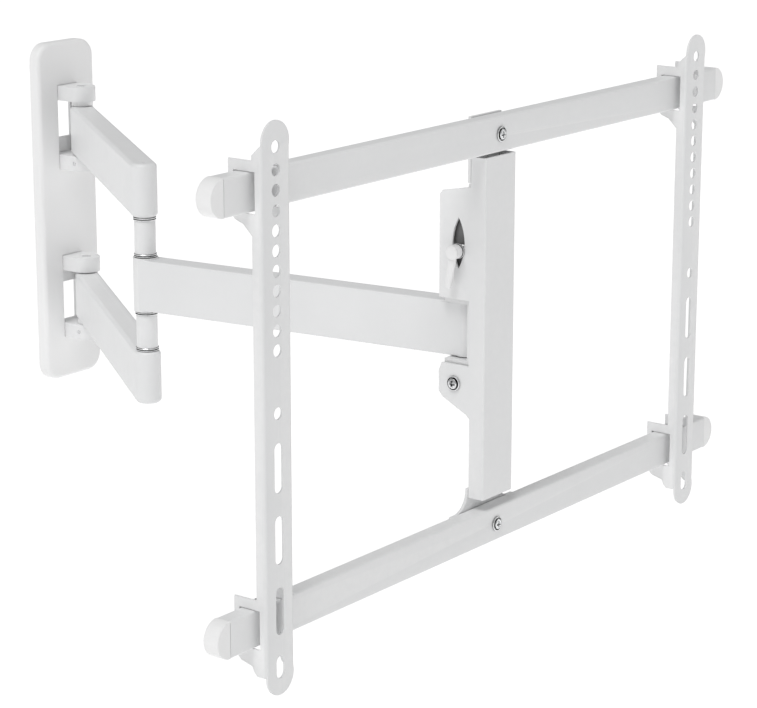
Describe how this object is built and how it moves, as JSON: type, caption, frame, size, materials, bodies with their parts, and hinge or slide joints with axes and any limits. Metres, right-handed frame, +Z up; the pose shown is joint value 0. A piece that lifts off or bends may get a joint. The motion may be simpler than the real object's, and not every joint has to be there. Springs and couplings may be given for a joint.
{
  "type": "full motion tv wall mount",
  "caption": "Wall mount for a flat screen: folding arms on a wall bracket, a head that swivels and tilts, and two rails that carry sliding bars with holes.",
  "frame": {"origin": "centre of the wall bracket's back face, on the wall", "axes": "+Y into the wall, -Y towards the screen, +Z up, +X to the right of somebody who faces the wall"},
  "size_m": [0.73, 0.6738, 0.442],
  "materials": {
    "white_powder_coat": "satin",
    "white_plastic": "matte",
    "grey_nylon": "matte",
    "zinc_steel": "satin"
  },
  "bodies": {
    "wall_side": {"wall_bracket": "white_powder_coat", "wall_cover": "white_plastic", "upper_hinge_pin": "zinc_steel", "lower_hinge_pin": "zinc_steel", "upper_hinge_washers": "white_plastic", "lower_hinge_washers": "white_plastic", "pin_lock_screws": "zinc_steel"},
    "short_arms": {"upper_short_arm": "white_powder_coat", "lower_short_arm": "white_powder_coat", "upper_hinge_bushes": "grey_nylon", "lower_hinge_bushes": "grey_nylon", "elbow_axle": "zinc_steel", "upper_elbow_sleeve": "white_powder_coat", "lower_elbow_sleeve": "white_powder_coat", "elbow_washers": "zinc_steel", "elbow_set_screws": "zinc_steel"},
    "long_arm": {"long_arm": "white_powder_coat", "elbow_bushes": "grey_nylon", "swivel_bushes": "grey_nylon"},
    "swivel_head": {"swivel_head": "white_powder_coat", "head_liner": "grey_nylon", "swivel_pin": "zinc_steel", "swivel_washers": "grey_nylon", "tilt_washers": "grey_nylon"},
    "tilt_frame": {"tilt_frame": "white_powder_coat", "tilt_pivot_bolt": "zinc_steel", "tilt_pivot_nut": "zinc_steel", "clamp_bolt": "white_plastic", "clamp_washers": "zinc_steel", "clamp_nut": "zinc_steel", "upper_rail_plate": "white_powder_coat", "lower_rail_plate": "white_powder_coat", "upper_rail": "white_powder_coat", "lower_rail": "white_powder_coat", "upper_left_rail_cap": "white_plastic", "upper_right_rail_cap": "white_plastic", "lower_left_rail_cap": "white_plastic", "lower_right_rail_cap": "white_plastic", "rail_screws": "zinc_steel", "rail_nuts": "zinc_steel"},
    "clamp_lever": {"clamp_lever": "white_plastic"},
    "left_bar": {"left_bar": "white_powder_coat", "left_bar_pads": "grey_nylon", "left_bar_lock_screws": "zinc_steel"},
    "right_bar": {"right_bar": "white_powder_coat", "right_bar_pads": "grey_nylon", "right_bar_lock_screws": "zinc_steel"}
  },
  "joints": [
    {"name": "wall_hinge", "type": "hinge", "parent": "wall_side", "child": "short_arms", "pos_m": [0, -0.033, 0], "axis": [0, 0, 1], "range_deg": [-52.6, 127.4]},
    {"name": "elbow", "type": "hinge", "parent": "short_arms", "child": "long_arm", "pos_m": [-0.20651, -0.3031, 0], "axis": [0, 0, 1], "range_deg": [-169.2, 80.8]},
    {"name": "head_swivel", "type": "hinge", "parent": "long_arm", "child": "swivel_head", "pos_m": [-0.16743, -0.63078, 0], "axis": [0, 0, 1], "range_deg": [-53.2, 66.8]},
    {"name": "tilt", "type": "hinge", "parent": "swivel_head", "child": "tilt_frame", "pos_m": [-0.16743, -0.63278, -0.044], "axis": [1, 0, 0], "range_deg": [-2, 6.5]},
    {"name": "clamp_lever_turn", "type": "hinge", "parent": "tilt_frame", "child": "clamp_lever", "pos_m": [-0.19483, -0.63628, 0.07], "axis": [1, 0, 0], "range_deg": [0, 90]},
    {"name": "left_bar_slide", "type": "slide", "parent": "tilt_frame", "child": "left_bar", "axis": [1, 0, 0], "range_m": [-0.025, 0.205]},
    {"name": "right_bar_slide", "type": "slide", "parent": "tilt_frame", "child": "right_bar", "axis": [1, 0, 0], "range_m": [-0.195, 0.03]}
  ]
}
